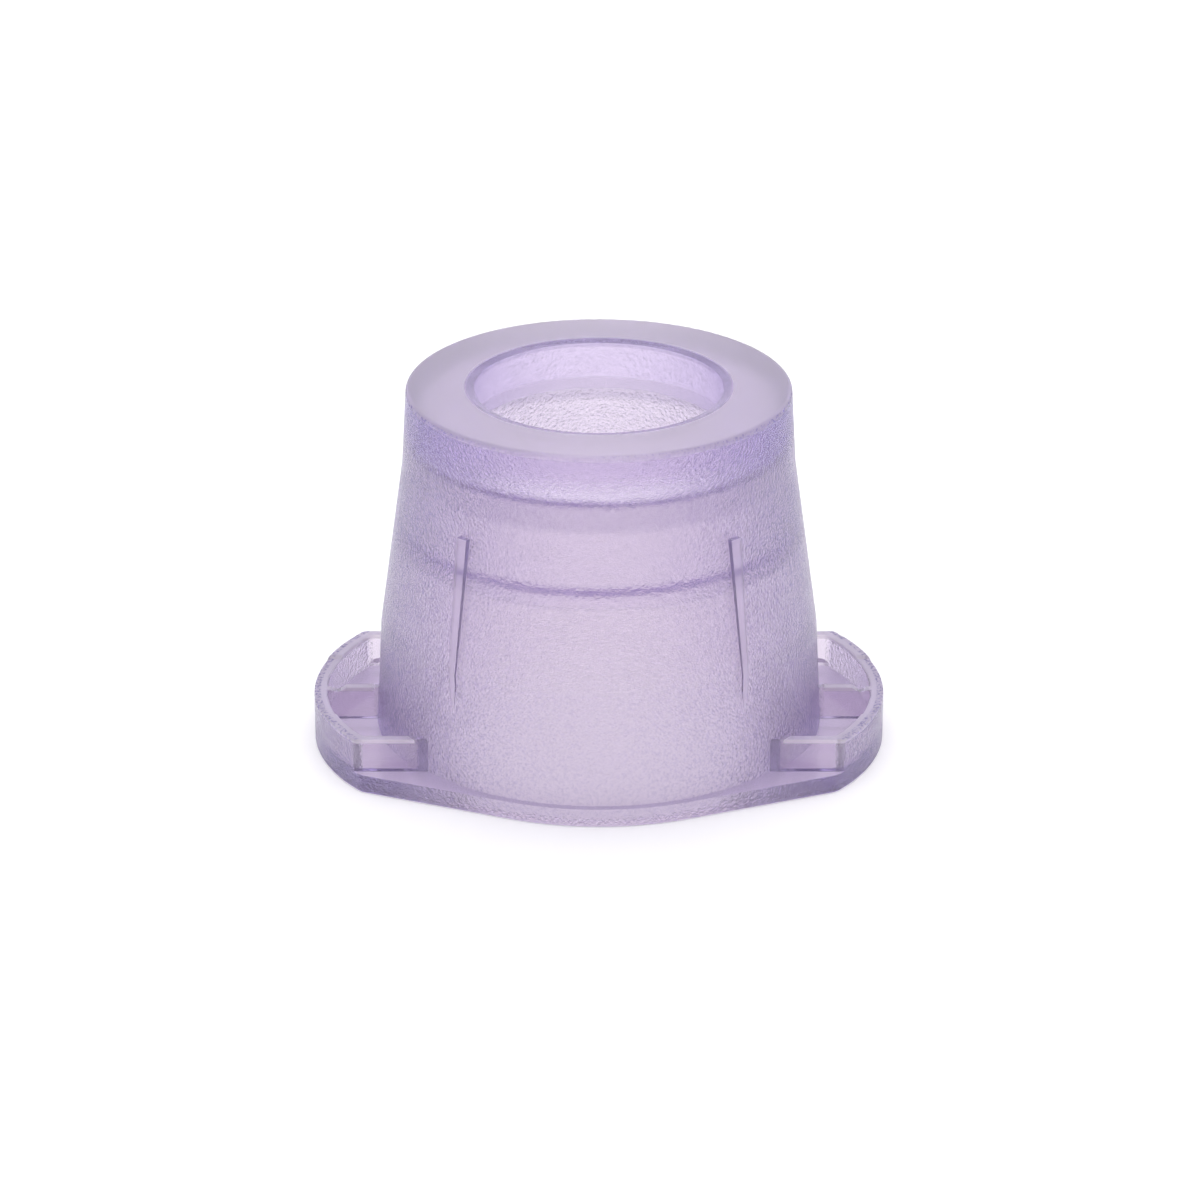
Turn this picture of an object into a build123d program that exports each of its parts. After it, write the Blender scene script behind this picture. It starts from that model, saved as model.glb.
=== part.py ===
"""Flanged tapered adapter: one thin-walled translucent moulding.

A tapered collar with a round bore in its thick top ring, open underneath, stands on
a thin flange.  The flange widens into two ears, each with a low wall round a pair of
shallow pockets that a partition divides.  Four low guide ribs lie on the taper.  The
collar's foot is upright in front and behind, and goes on widening towards the ears.

Frame: millimetres, +Z up, origin at the centre of the flat underside.
X runs from ear to ear.
"""
from build123d import *
import os
from math import cos, radians, sin, sqrt

# Collar, outside
HEIGHT = 19.8
RIM_RADIUS = 10.05
RIM_ROUNDING = 0.25
SHOULDER_HEIGHT = 15.6
SHOULDER_RADIUS = 10.28
SKIRT_HEIGHT = 6.6
SKIRT_RADIUS = 11.50
FOOT_RADIUS = 11.80
UPRIGHT_RADIUS = 11.42

# Collar, inside
BORE_RADIUS = 6.5
BORE_DISH_WIDTH = 0.4
BORE_DISH_DEPTH = 0.1
TOP_RING_THICKNESS = 2.65
SOCKET_RADIUS = 9.35
STEP_HEIGHT = 12.2
STEP_RISE = 0.7
CORNER_ROUNDING = 0.2
WALL = 0.8

# Flange plate
FLANGE_THICKNESS = 1.0
FLANGE_RADIUS = 11.84
FLANGE_TAPER_ANGLE = 23.0
EAR_CENTRE = 3.0
EAR_RADIUS = 12.1
EAR_CORNER_ROUNDING = 1.0
UNDER_EDGE_ROUNDING = 0.15

# Ear walls
WALL_TOP = 2.8
SIDE_WALL_OFFSET = 7.15
SIDE_WALL_THICKNESS = 0.6
ARC_WALL_THICKNESS = 0.7
WALL_CORNER_ROUNDING = 0.4
WALL_EDGE_ROUNDING = 0.1
PARTITION_THICKNESS = 0.45
SADDLE_HALF_WIDTH = 3.6
SADDLE_DEPTH = 0.12
SADDLE_RAMP = 0.25
NOTCH_RADIUS = 13.85
NOTCH_HALF_WIDTH = 0.45
NOTCH_DEPTH = 0.28

# Guide ribs on the taper
RIB_ANGLES = (41, 139, 221, 319)
RIB_WIDTH = 0.65
RIB_TOP = 14.5
RIB_FOOT = 5.0
RIB_PROUD = 0.27
RIB_LOW_PROUD = 0.12
RIB_NARROWING = 6.3
RIB_LOW_WIDTH = 0.32
RIB_ROOT = 0.3

# How far a cutting or trimming shape runs past what it cuts
CLEARANCE = 1.0
TOLERANCE = 0.01


def outer_radius(z):
    """Outside radius of the collar at height z: straight tapers between its breaks."""
    breaks = [
        (0.0, FOOT_RADIUS),
        (SKIRT_HEIGHT, SKIRT_RADIUS),
        (SHOULDER_HEIGHT, SHOULDER_RADIUS),
        (HEIGHT, RIM_RADIUS),
    ]
    for (z0, r0), (z1, r1) in zip(breaks, breaks[1:]):
        if z <= z1:
            return r0 + (r1 - r0) * (z - z0) / (z1 - z0)
    return RIM_RADIUS


def upright_top():
    """Height where the taper has narrowed to the upright foot's radius."""
    taper = (SKIRT_RADIUS - SHOULDER_RADIUS) / (SHOULDER_HEIGHT - SKIRT_HEIGHT)
    return SKIRT_HEIGHT + (SKIRT_RADIUS - UPRIGHT_RADIUS) / taper


def ear_side():
    """Upright cylinder off the axis: from the upright foot out to the foot radius at the ear."""
    meeting_x = sqrt(UPRIGHT_RADIUS ** 2 - SIDE_WALL_OFFSET ** 2)
    offset = (FOOT_RADIUS ** 2 - UPRIGHT_RADIUS ** 2) / (2 * (FOOT_RADIUS - meeting_x))
    return Pos(offset, 0) * Cylinder(FOOT_RADIUS - offset, 2 * HEIGHT)


def revolved(points):
    """A solid of revolution about Z from a closed outline of (radius, height) points."""
    outline = make_face(Plane.XZ * Polyline(points, close=True))
    return revolve(outline, Axis.Z)


def collar_outside():
    """The tapered outside, filled in, with its rounded rim."""
    solid = revolved([
        (0, 0),
        (FOOT_RADIUS, 0),
        (SKIRT_RADIUS, SKIRT_HEIGHT),
        (SHOULDER_RADIUS, SHOULDER_HEIGHT),
        (RIM_RADIUS, HEIGHT),
        (0, HEIGHT),
    ])
    rim = solid.edges().filter_by(GeomType.CIRCLE).sort_by(Axis.Z)[-1]
    upright = Cylinder(UPRIGHT_RADIUS, 2 * HEIGHT)
    return fillet(rim, RIM_ROUNDING) & (upright + mirrored_pair(ear_side()))


def collar_inside():
    """The space inside: bore, upper socket, and a wider skirt open underneath."""
    ring_underside = HEIGHT - TOP_RING_THICKNESS
    step_foot = STEP_HEIGHT - STEP_RISE
    solid = revolved([
        (0, 0),
        (UPRIGHT_RADIUS - WALL, 0),
        (UPRIGHT_RADIUS - WALL, upright_top()),
        (outer_radius(step_foot) - WALL, step_foot),
        (SOCKET_RADIUS, STEP_HEIGHT),
        (SOCKET_RADIUS, ring_underside),
        (BORE_RADIUS, ring_underside),
        (BORE_RADIUS, HEIGHT - BORE_DISH_DEPTH),
        (BORE_RADIUS + BORE_DISH_WIDTH, HEIGHT),
        (0, HEIGHT),
    ])
    socket_edges = [
        edge for edge in solid.edges().filter_by(GeomType.CIRCLE)
        if abs(edge.radius - SOCKET_RADIUS) < TOLERANCE
    ]
    return fillet(socket_edges, CORNER_ROUNDING)


def mirrored_pair(shape):
    """The shape on the +X ear together with its twin on the -X ear."""
    return shape + mirror(shape, Plane.YZ)


def flange_plan():
    """Plan of the flange: a disc with straight tangents running out to round-ended ears."""
    tangent_x = FLANGE_RADIUS * sin(radians(FLANGE_TAPER_ANGLE))
    tangent_y = FLANGE_RADIUS * cos(radians(FLANGE_TAPER_ANGLE))
    tip_x = FLANGE_RADIUS / sin(radians(FLANGE_TAPER_ANGLE))
    wedge = make_face(Polyline(
        [(tangent_x, tangent_y), (tip_x, 0), (tangent_x, -tangent_y)], close=True))
    ear = wedge & (Pos(EAR_CENTRE, 0) * Circle(EAR_RADIUS))
    ear_corners = ear.vertices().filter_by(
        lambda corner: corner.X > tangent_x + EAR_CORNER_ROUNDING)
    ear = fillet(ear_corners, EAR_CORNER_ROUNDING)
    return Circle(FLANGE_RADIUS) + mirrored_pair(ear)


def flange():
    """The flat plate under the collar and the ears."""
    plate = extrude(flange_plan(), FLANGE_THICKNESS)
    under_edges = plate.edges().group_by(Axis.Z)[0]
    return fillet(under_edges, UNDER_EDGE_ROUNDING)


def ear_band(half_width, end_radius, rounding):
    """Plan area from the collar out to a round end, between two straight sides."""
    length = EAR_CENTRE + EAR_RADIUS
    strip = Pos(length / 2, 0) * Rectangle(length, 2 * half_width)
    band = strip & (Pos(EAR_CENTRE, 0) * Circle(end_radius))
    corners = band.vertices().filter_by(lambda corner: corner.X > EAR_CENTRE)
    return fillet(corners, rounding)


def ear_wall():
    """The low wall round one ear, with its rounded top edges."""
    outside = ear_band(SIDE_WALL_OFFSET, EAR_RADIUS, WALL_CORNER_ROUNDING)
    inside = ear_band(SIDE_WALL_OFFSET - SIDE_WALL_THICKNESS,
                      EAR_RADIUS - ARC_WALL_THICKNESS, WALL_CORNER_ROUNDING)
    height = WALL_TOP - FLANGE_THICKNESS
    wall = Pos(0, 0, FLANGE_THICKNESS) * extrude(outside - inside, height)
    wall -= saddle()
    top_edges = [
        edge for edge in wall.edges()
        if edge.bounding_box().min.Z > FLANGE_THICKNESS + height / 2
        and edge.bounding_box().max.X > EAR_CENTRE
        and edge.bounding_box().size.Y < 2 * SIDE_WALL_OFFSET
        and edge.length > 2 * ARC_WALL_THICKNESS
    ]
    return fillet(top_edges, WALL_EDGE_ROUNDING)


def saddle():
    """The shallow dip along the top of the arc wall, with a ramp at each end."""
    low = WALL_TOP - SADDLE_DEPTH
    outline = Plane.YZ * Polyline([
        (-SADDLE_HALF_WIDTH - SADDLE_RAMP, WALL_TOP),
        (-SADDLE_HALF_WIDTH, low),
        (SADDLE_HALF_WIDTH, low),
        (SADDLE_HALF_WIDTH + SADDLE_RAMP, WALL_TOP),
    ], close=True)
    return extrude(make_face(outline), EAR_CENTRE + EAR_RADIUS + CLEARANCE)


def partition():
    """The thin rib that divides one ear's pockets, notched where it meets the arc wall."""
    inner = SOCKET_RADIUS
    outer = EAR_CENTRE + EAR_RADIUS - ARC_WALL_THICKNESS / 2
    low = WALL_TOP - SADDLE_DEPTH
    outline = Plane.XZ * Polyline([
        (inner, FLANGE_THICKNESS / 2),
        (outer, FLANGE_THICKNESS / 2),
        (outer, low),
        (NOTCH_RADIUS + NOTCH_HALF_WIDTH, low),
        (NOTCH_RADIUS, WALL_TOP - NOTCH_DEPTH),
        (NOTCH_RADIUS - NOTCH_HALF_WIDTH, WALL_TOP),
        (inner, WALL_TOP),
    ], close=True)
    return extrude(make_face(outline), PARTITION_THICKNESS)


def guide_rib(angle):
    """A low rib on the taper that narrows and sinks downwards until it is gone."""
    low = upright_top()
    side_view = Plane.XZ * Polyline([
        (UPRIGHT_RADIUS - RIB_ROOT, RIB_FOOT),
        (UPRIGHT_RADIUS, RIB_FOOT),
        (UPRIGHT_RADIUS + RIB_LOW_PROUD, low),
        (outer_radius(RIB_TOP) + RIB_PROUD, RIB_TOP),
        (outer_radius(RIB_TOP) - RIB_ROOT, RIB_TOP),
    ], close=True)
    front_view = Plane.YZ * Polyline([
        (-RIB_WIDTH / 2, RIB_TOP),
        (-RIB_LOW_WIDTH / 2, RIB_NARROWING),
        (0, RIB_FOOT),
        (RIB_LOW_WIDTH / 2, RIB_NARROWING),
        (RIB_WIDTH / 2, RIB_TOP),
    ], close=True)
    rib = extrude(make_face(side_view), RIB_WIDTH, both=True)
    rib &= extrude(make_face(front_view), FLANGE_RADIUS + CLEARANCE)
    return Rot(0, 0, angle - 90) * rib


def adapter():
    """The whole moulding."""
    body = collar_outside() + flange()
    body += mirrored_pair(ear_wall())
    body += mirrored_pair(partition())
    for angle in RIB_ANGLES:
        body += guide_rib(angle)
    return body - collar_inside()


os.makedirs("parts", exist_ok=True)
export_step(adapter(), "parts/adapter_body.step")
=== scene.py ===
"""Looks of the flanged tapered adapter: one lavender moulding, polished inside and grained outside.

Metres, +Z up, origin at the centre of the flat underside, X from ear to ear, as in the CAD frame.
The whole object is the CAD node; this script gives it its plastic, a floor, light and a camera.
"""
import math

import bpy
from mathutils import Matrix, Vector


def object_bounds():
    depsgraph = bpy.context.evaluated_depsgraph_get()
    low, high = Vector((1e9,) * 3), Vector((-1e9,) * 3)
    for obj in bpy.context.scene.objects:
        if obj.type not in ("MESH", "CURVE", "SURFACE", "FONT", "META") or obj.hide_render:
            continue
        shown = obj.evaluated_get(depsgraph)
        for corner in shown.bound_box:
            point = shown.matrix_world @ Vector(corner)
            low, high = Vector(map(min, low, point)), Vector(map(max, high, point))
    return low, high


MM = 0.001

# Widths of the soft step from one finish to the next
BLEND = 0.1 * MM
CRISP = 0.05 * MM

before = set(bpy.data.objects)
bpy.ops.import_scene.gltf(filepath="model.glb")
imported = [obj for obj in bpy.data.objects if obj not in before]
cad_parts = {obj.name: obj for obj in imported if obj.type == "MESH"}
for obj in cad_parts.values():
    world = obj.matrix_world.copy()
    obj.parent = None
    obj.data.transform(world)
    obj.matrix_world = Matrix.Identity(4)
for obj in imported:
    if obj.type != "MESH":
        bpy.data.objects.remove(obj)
cad_low, cad_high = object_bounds()
height = cad_high.z - cad_low.z
flange_radius = cad_high.y
ear_reach = cad_high.x

# Camera
CAMERA_DISTANCE = 0.3125
CAMERA_ELEVATION = math.radians(23.17)
CAMERA_TARGET_HEIGHT = 0.387 * height
LENS = 177.6
SHIFT_X = 0.0009
CLIP_START = 0.01

# Light of the studio: dim and cool in front, bright behind and overhead, and a faintly lit floor
FRONT_LIGHT = (0.50, 0.47, 0.56, 1.0)
BACK_LIGHT = (1.04, 1.04, 1.04, 1.0)
TOP_LIGHT = (1.50, 1.50, 1.50, 1.0)
BACK_START = -0.1
BACK_FULL = 0.7
TOP_START = 0.5
TOP_FULL = 1.0
FLOOR_COLOUR = (0.93, 0.93, 0.93, 1.0)
FLOOR_ROUGHNESS = 0.9
FLOOR_GLOW_COLOUR = (1.0, 1.0, 1.0, 1.0)
FLOOR_GLOW = 0.25
FLOOR_HALF_SIZE = 4.0
FLOOR_GAP = 0.02 * MM

# Plastic: colours, with painted shade
IOR = 1.53
TRANSMISSION = 0.9
DEPTH_TINT = (0.33, 0.09, 0.95, 1.0)
DEPTH_TINT_DENSITY = 55.0
POLISHED_TINT = (0.93, 0.86, 0.93, 1.0)
SATIN_TINT = (0.98, 0.915, 0.955, 1.0)
# Painted shade: the colour deepens where the surface is seen edge-on
EDGE_ON_SHADE_TINT = (0.70, 0.58, 0.97, 1.0)
EDGE_ON_SHADE_AMOUNT = 0.6
EDGE_ON_BLEND = 0.5
# Painted shade: dark colour in the socket's inner corners, in a band under the top ring and along the
# bore's top edge
PAINTED_SHADE_TINT = (0.13, 0.07, 0.30, 1.0)
# Dark speckles over the grain: painted shade standing in for the grain's glints and shadows
GRAIN_SHADE_TINT = (0.24, 0.18, 0.50, 1.0)
MILKY_TOP = 0.12
MILKY_EAR = 0.35

# Plastic: roughness of each finish
POLISHED = 0.07
INSIDE = 0.19
SATIN = 0.20
MATT = 0.40

# Plastic: grain; each noise has a feature size, then its detail and roughness
GRAIN_DEPTH = 0.11 * MM
COARSE_NOISE = (0.18 * MM, 3.0, 0.6)
FINE_NOISE = (0.10 * MM, 2.0, 0.5)
FINE_SHARE = 0.3
# Speckles over the grain: a grain-like pattern whose dark colour is painted shade, more so edge-on
SPECKLE_NOISE = (0.15 * MM, 2.0, 0.6)
SPECKLE_LEVEL = 0.55
SPECKLE_SOFTNESS = 0.2
SPECKLE_LEAST = 0.1
SPECKLE_EDGE_ON = 1.3

# Where each finish, and each painted shade, begins and ends on the part
OUTSIDE_RADIUS = flange_radius - 0.43 * MM
OUTSIDE_TAPER = 0.095
UPRIGHT_SLOPE = 0.6
UPRIGHT_SOFTNESS = 0.2
COLLAR_REACH = flange_radius + 0.11 * MM
INSIDE_RADIUS = 10.3 * MM
SOCKET_RADIUS = 9.1 * MM
# Painted shade on the socket wall at its inner corners and in a band under the top ring, and a
# painted dark line along the bore's top edge
RING_CORNER = height - 2.8 * MM
STEP_CORNER = height - 7.6 * MM
CORNER_WIDTH = 0.45 * MM
SHADE_BAND_HEIGHT = height - 3.6 * MM
SHADE_BAND_WIDTH = 2.0 * MM
SHADE_BAND_STRENGTH = 0.4
BORE_EDGE_RADIUS = 6.7 * MM
BORE_EDGE_WIDTH = 0.6 * MM
BORE_EDGE_SHADE_STRENGTH = 0.5
TOP_DEPTH = 0.3 * MM
FLANGE_TOP = 1.03 * MM
FLANGE_STEP = 0.02 * MM
WALL_TOP = 2.6 * MM
EAR_CENTRE = 3.0 * MM
EAR_RADIUS = ear_reach - EAR_CENTRE - 0.35 * MM
RIB_AZIMUTH = math.radians(49)
RIB_HALF_WIDTH = 0.36 * MM
RIB_NARROWING = 0.4
RIB_TOP = height - 5.3 * MM
RIB_FOOT = 5.0 * MM


def make_camera():
    """A long lens a little above the object."""
    data = bpy.data.cameras.new("camera")
    camera = bpy.data.objects.new("camera", data)
    bpy.context.collection.objects.link(camera)
    back = Vector((0, -math.cos(CAMERA_ELEVATION), math.sin(CAMERA_ELEVATION)))
    camera.location = Vector((0, 0, CAMERA_TARGET_HEIGHT)) + CAMERA_DISTANCE * back
    camera.rotation_euler = (math.pi / 2 - CAMERA_ELEVATION, 0, 0)
    data.lens = LENS
    data.shift_x = SHIFT_X
    data.clip_start = CLIP_START
    bpy.context.scene.camera = camera


# Sockets of Blender's mix node that carry colours
MIX_LOW = 6
MIX_HIGH = 7
MIX_RESULT = 2


class Nodes:
    """Short ways to add and join the nodes of one material or of the world."""

    def __init__(self, owner):
        self.owner = owner
        owner.use_nodes = True
        self.tree = owner.node_tree
        self.tree.nodes.clear()

    def add(self, kind, **settings):
        node = self.tree.nodes.new(kind)
        for name, value in settings.items():
            setattr(node, name, value)
        return node

    def join(self, source, target):
        """Feed a socket from another node's output, or set it to a plain value."""
        if isinstance(source, bpy.types.NodeSocket):
            self.tree.links.new(source, target)
        else:
            target.default_value = source

    def split(self, vector):
        node = self.add("ShaderNodeSeparateXYZ")
        self.join(vector, node.inputs[0])
        return node.outputs

    def math(self, operation, *values):
        node = self.add("ShaderNodeMath", operation=operation)
        for value, socket in zip(values, node.inputs):
            self.join(value, socket)
        return node.outputs[0]

    def plus(self, first, second):
        return self.math("ADD", first, second)

    def minus(self, first, second):
        return self.math("SUBTRACT", first, second)

    def times(self, first, second):
        return self.math("MULTIPLY", first, second)

    def either(self, first, second):
        """The larger of two masks."""
        return self.math("MAXIMUM", first, second)

    def without(self, mask):
        """The mask turned round: 1 where it was 0."""
        return self.minus(1.0, mask)

    def length(self, across, along):
        return self.math("SQRT", self.plus(self.times(across, across), self.times(along, along)))

    def ramp(self, value, start, full):
        """0 at the start and 1 at the full value, with a soft step between them."""
        node = self.add("ShaderNodeMapRange", interpolation_type="SMOOTHSTEP")
        self.join(value, node.inputs["Value"])
        self.join(start, node.inputs["From Min"])
        self.join(full, node.inputs["From Max"])
        return node.outputs["Result"]

    def above(self, value, edge, soft):
        """0 below the edge and 1 above it, with a soft step that wide."""
        return self.ramp(value, edge - soft / 2, edge + soft / 2)

    def near(self, value, middle, width):
        """1 at the middle, falling to 0 half the width away from it."""
        away = self.math("ABSOLUTE", self.minus(value, middle))
        return self.without(self.ramp(away, width / 4, width / 2))

    def mix(self, amount, low, high):
        """The low colour where the amount is 0 and the high one where it is 1."""
        node = self.add("ShaderNodeMix", data_type="RGBA")
        self.join(amount, node.inputs["Factor"])
        self.join(low, node.inputs[MIX_LOW])
        self.join(high, node.inputs[MIX_HIGH])
        return node.outputs[MIX_RESULT]

    def noise(self, vector, feature, detail, roughness):
        node = self.add("ShaderNodeTexNoise")
        self.join(vector, node.inputs["Vector"])
        self.join(1 / feature, node.inputs["Scale"])
        self.join(detail, node.inputs["Detail"])
        self.join(roughness, node.inputs["Roughness"])
        return node.outputs[0]

    def finish(self, shader, kind, volume=None):
        """Join the shader, and a volume where there is one, to an output node of that kind."""
        output = self.add(kind)
        self.join(shader.outputs[0], output.inputs["Surface"])
        if volume:
            self.join(volume.outputs[0], output.inputs["Volume"])


class Zones:
    """Masks, from 0 to 1, for the parts of the moulding that have a finish of their own, and for
    where shade is painted.
    """

    def __init__(self, n, place):
        x, y, z = n.split(place)
        x_size = n.math("ABSOLUTE", x)
        y_size = n.math("ABSOLUTE", y)
        radius = n.length(x, y)
        normal = n.split(n.add("ShaderNodeNewGeometry").outputs["True Normal"])
        facing_up = n.math("ABSOLUTE", normal[2])
        upright = n.without(n.above(facing_up, UPRIGHT_SLOPE, UPRIGHT_SOFTNESS))

        outside = n.above(n.plus(radius, n.times(z, OUTSIDE_TAPER)), OUTSIDE_RADIUS, BLEND)
        over_flange = n.above(z, FLANGE_TOP, FLANGE_STEP)
        on_ear = n.times(n.above(radius, COLLAR_REACH, BLEND), over_flange)
        collar_side = n.times(n.times(outside, upright), n.without(on_ear))
        ear_radius = n.length(n.minus(x_size, EAR_CENTRE), y)
        ear_side = n.times(on_ear, n.above(ear_radius, EAR_RADIUS, BLEND))

        sideways = n.minus(n.times(x_size, math.sin(RIB_AZIMUTH)),
                           n.times(y_size, math.cos(RIB_AZIMUTH)))
        off_middle = n.math("ABSOLUTE", sideways)
        rise = n.either(n.math("DIVIDE", n.minus(z, RIB_FOOT), RIB_TOP - RIB_FOOT), 0.0)
        rib_edge = n.times(RIB_HALF_WIDTH, n.math("POWER", rise, RIB_NARROWING))
        self.rib = n.times(n.above(n.minus(rib_edge, off_middle), 0.0, CRISP),
                           n.without(n.above(z, RIB_TOP, CRISP)))

        near_top = n.above(z, height - TOP_DEPTH, BLEND)
        self.top = n.times(near_top, n.above(radius, BORE_EDGE_RADIUS + BORE_EDGE_WIDTH / 2, BLEND))
        self.ear_top = n.times(on_ear, n.above(z, WALL_TOP, BLEND))
        self.grain = n.either(n.times(collar_side, n.without(self.rib)), ear_side)
        self.satin = n.either(n.either(collar_side, ear_side), self.ear_top)
        self.inside = n.without(n.above(radius, INSIDE_RADIUS, BLEND))

        # Painted shade: inner corners and a band under the top ring on the socket wall, and a dark
        # line along the bore's top edge
        socket = n.times(n.above(radius, SOCKET_RADIUS, CRISP), n.without(outside))
        corners = n.either(n.near(z, RING_CORNER, CORNER_WIDTH), n.near(z, STEP_CORNER, CORNER_WIDTH))
        shade_band = n.times(n.near(z, SHADE_BAND_HEIGHT, SHADE_BAND_WIDTH), SHADE_BAND_STRENGTH)
        bore_edge_shade = n.times(near_top, n.near(radius, BORE_EDGE_RADIUS, BORE_EDGE_WIDTH))
        self.corners = n.either(n.times(socket, n.either(corners, shade_band)),
                                n.times(bore_edge_shade, BORE_EDGE_SHADE_STRENGTH))


def grain_bump(n, place, zones):
    """Spark grain: fine worm-like relief."""
    coarse = n.noise(place, *COARSE_NOISE)
    fine = n.noise(place, *FINE_NOISE)
    bump = n.add("ShaderNodeBump")
    n.join(GRAIN_DEPTH, bump.inputs["Distance"])
    n.join(zones.grain, bump.inputs["Strength"])
    n.join(n.plus(coarse, n.times(fine, FINE_SHARE)), bump.inputs["Height"])
    return bump.outputs["Normal"]


def plastic_colour(n, place, zones):
    """Lavender with painted shade: deeper edge-on, at the socket's inner corner lines, in a band
    under the top ring and along the bore's top edge, and dark speckles painted over the grain,
    stronger edge-on.
    """
    edge_on = n.add("ShaderNodeLayerWeight")
    n.join(EDGE_ON_BLEND, edge_on.inputs["Blend"])
    turned = edge_on.outputs["Facing"]
    colour = n.mix(n.either(zones.satin, zones.top), POLISHED_TINT, SATIN_TINT)
    # Painted shade: colour deepened toward edge-on view, except on the top
    edge_on_shade = n.times(n.times(turned, EDGE_ON_SHADE_AMOUNT), n.without(zones.top))
    colour = n.mix(edge_on_shade, colour, EDGE_ON_SHADE_TINT)
    # Painted shade in the inner corners, in the band under the ring and along the bore's edge
    colour = n.mix(zones.corners, colour, PAINTED_SHADE_TINT)
    # Dark speckles on the grained zones: painted shade of the grain, stronger edge-on
    speckle = n.above(n.noise(place, *SPECKLE_NOISE), SPECKLE_LEVEL, SPECKLE_SOFTNESS)
    strength = n.math("MINIMUM", n.plus(SPECKLE_LEAST, n.times(turned, SPECKLE_EDGE_ON)), 1.0)
    return n.mix(n.times(n.times(speckle, strength), zones.grain), colour, GRAIN_SHADE_TINT)


def plastic_roughness(n, zones):
    """The roughest finish that any zone asks for."""
    finishes = [
        (zones.inside, INSIDE),
        (zones.satin, SATIN),
        (n.either(n.either(zones.top, zones.ear_top), zones.rib), MATT),
    ]
    roughness = POLISHED
    for mask, finish in finishes:
        roughness = n.either(roughness, n.times(mask, finish))
    return roughness


def plastic():
    """The moulding's one material."""
    n = Nodes(bpy.data.materials.new("frosted_plastic"))
    place = n.add("ShaderNodeTexCoord").outputs["Object"]
    zones = Zones(n, place)
    milky = n.plus(n.times(zones.top, MILKY_TOP), n.times(zones.ear_top, MILKY_EAR))
    shader = n.add("ShaderNodeBsdfPrincipled")
    n.join(IOR, shader.inputs["IOR"])
    n.join(plastic_colour(n, place, zones), shader.inputs["Base Color"])
    n.join(plastic_roughness(n, zones), shader.inputs["Roughness"])
    n.join(n.minus(TRANSMISSION, milky), shader.inputs["Transmission Weight"])
    n.join(grain_bump(n, place, zones), shader.inputs["Normal"])
    depth = n.add("ShaderNodeVolumeAbsorption")
    n.join(DEPTH_TINT, depth.inputs["Color"])
    n.join(DEPTH_TINT_DENSITY, depth.inputs["Density"])
    n.finish(shader, "ShaderNodeOutputMaterial", depth)
    return n.owner


def make_floor():
    """A plain pale floor, faintly lit, that runs far behind the object."""
    side = FLOOR_HALF_SIZE
    mesh = bpy.data.meshes.new("floor")
    mesh.from_pydata([(-side, -side, 0), (side, -side, 0), (side, side, 0), (-side, side, 0)],
                     [], [(0, 1, 2, 3)])
    floor = bpy.data.objects.new("floor", mesh)
    bpy.context.collection.objects.link(floor)
    floor.location.z = cad_low.z - FLOOR_GAP
    n = Nodes(bpy.data.materials.new("floor_white"))
    shader = n.add("ShaderNodeBsdfPrincipled")
    n.join(FLOOR_COLOUR, shader.inputs["Base Color"])
    n.join(FLOOR_ROUGHNESS, shader.inputs["Roughness"])
    n.join(FLOOR_GLOW_COLOUR, shader.inputs["Emission Color"])
    n.join(FLOOR_GLOW, shader.inputs["Emission Strength"])
    n.finish(shader, "ShaderNodeOutputMaterial")
    mesh.materials.append(n.owner)


def make_light():
    """A soft studio all round: brightest overhead, bright behind, dim on the camera's side."""
    world = bpy.data.worlds.new("studio")
    n = Nodes(world)
    direction = n.split(n.add("ShaderNodeTexCoord").outputs["Generated"])
    behind = n.ramp(direction[1], BACK_START, BACK_FULL)
    overhead = n.ramp(direction[2], TOP_START, TOP_FULL)
    around = n.mix(behind, FRONT_LIGHT, BACK_LIGHT)
    shader = n.add("ShaderNodeBackground")
    n.join(n.mix(overhead, around, TOP_LIGHT), shader.inputs["Color"])
    n.finish(shader, "ShaderNodeOutputWorld")
    bpy.context.scene.world = world


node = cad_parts["adapter_body"]
node.material_slots[0].link = "OBJECT"
node.material_slots[0].material = plastic()
make_floor()
make_light()
make_camera()
bpy.context.scene.view_settings.view_transform = "Standard"
